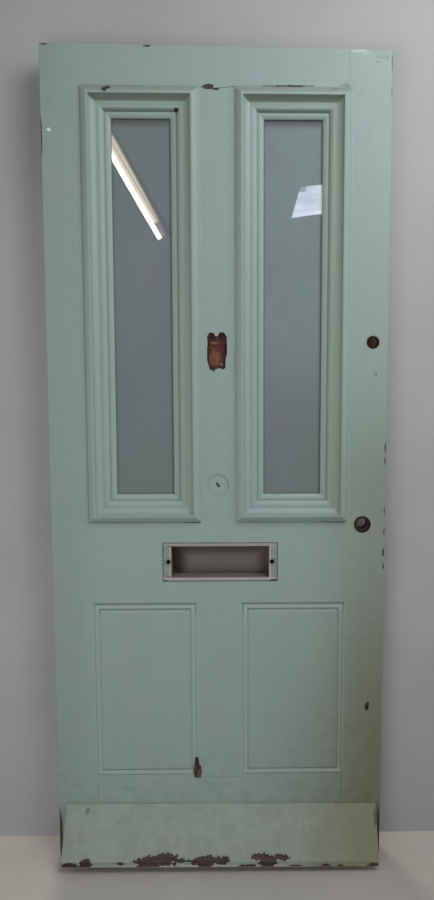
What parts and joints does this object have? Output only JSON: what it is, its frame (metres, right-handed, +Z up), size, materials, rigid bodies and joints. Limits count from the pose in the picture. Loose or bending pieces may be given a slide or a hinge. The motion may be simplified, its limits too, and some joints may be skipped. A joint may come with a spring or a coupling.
{
  "type": "panelled front door leaf",
  "caption": "Old timber front door leaf with tall glazed lights in raised mouldings over flush panels, a letter plate opening and a weatherboard.",
  "frame": {"origin": "middle of the leaf's bottom edge, halfway through its thickness", "axes": "+Z up the leaf, -Y out of its outdoor face, +X from the hanging edge to the lock edge"},
  "size_m": [0.838, 0.124, 2.032],
  "materials": {
    "painted_frame": "old pale green gloss paint, brushed and chipped",
    "painted_moulding": "old pale green gloss paint, thick in the corners",
    "painted_panel": "old pale green gloss paint",
    "painted_plug": "painted over",
    "painted_weatherboard": "dirty pale green paint, worn to wood at its foot",
    "painted_inner_moulding": "off-white paint",
    "bare_wood": "bare softwood, darkened",
    "filler": "painted stopping",
    "screw_steel": "rusted steel",
    "glass": "obscured, grey green"
  },
  "bodies": {
    "root": {"bottom_rail": "painted_frame", "hanging_stile": "painted_frame", "hanging_wedges": "bare_wood", "knob_hole_plug": "painted_plug", "latch_hole_plug": "bare_wood", "left_glass": "glass", "left_light_inner_moulding_bottom": "painted_inner_moulding", "left_light_inner_moulding_left": "painted_inner_moulding", "left_light_inner_moulding_right": "painted_inner_moulding", "left_light_inner_moulding_top": "painted_inner_moulding", "left_light_moulding_bottom": "painted_moulding", "left_light_moulding_left": "painted_moulding", "left_light_moulding_right": "painted_moulding", "left_light_moulding_top": "painted_moulding", "left_panel": "painted_panel", "left_panel_bead_bottom": "painted_moulding", "left_panel_bead_left": "painted_moulding", "left_panel_bead_right": "painted_moulding", "left_panel_bead_top": "painted_moulding", "left_panel_inner_moulding_bottom": "painted_inner_moulding", "left_panel_inner_moulding_left": "painted_inner_moulding", "left_panel_inner_moulding_right": "painted_inner_moulding", "left_panel_inner_moulding_top": "painted_inner_moulding", "lock_rail": "painted_frame", "lock_stile": "painted_frame", "lock_wedges": "bare_wood", "lower_muntin": "painted_frame", "right_glass": "glass", "right_light_inner_moulding_bottom": "painted_inner_moulding", "right_light_inner_moulding_left": "painted_inner_moulding", "right_light_inner_moulding_right": "painted_inner_moulding", "right_light_inner_moulding_top": "painted_inner_moulding", "right_light_moulding_bottom": "painted_moulding", "right_light_moulding_left": "painted_moulding", "right_light_moulding_right": "painted_moulding", "right_light_moulding_top": "painted_moulding", "right_panel": "painted_panel", "right_panel_bead_bottom": "painted_moulding", "right_panel_bead_left": "painted_moulding", "right_panel_bead_right": "painted_moulding", "right_panel_bead_top": "painted_moulding", "right_panel_inner_moulding_bottom": "painted_inner_moulding", "right_panel_inner_moulding_left": "painted_inner_moulding", "right_panel_inner_moulding_right": "painted_inner_moulding", "right_panel_inner_moulding_top": "painted_inner_moulding", "top_rail": "painted_frame", "upper_muntin": "painted_frame", "weatherboard": "painted_weatherboard", "weatherboard_fillers": "filler", "weatherboard_screws": "screw_steel"}
  },
  "joints": []
}
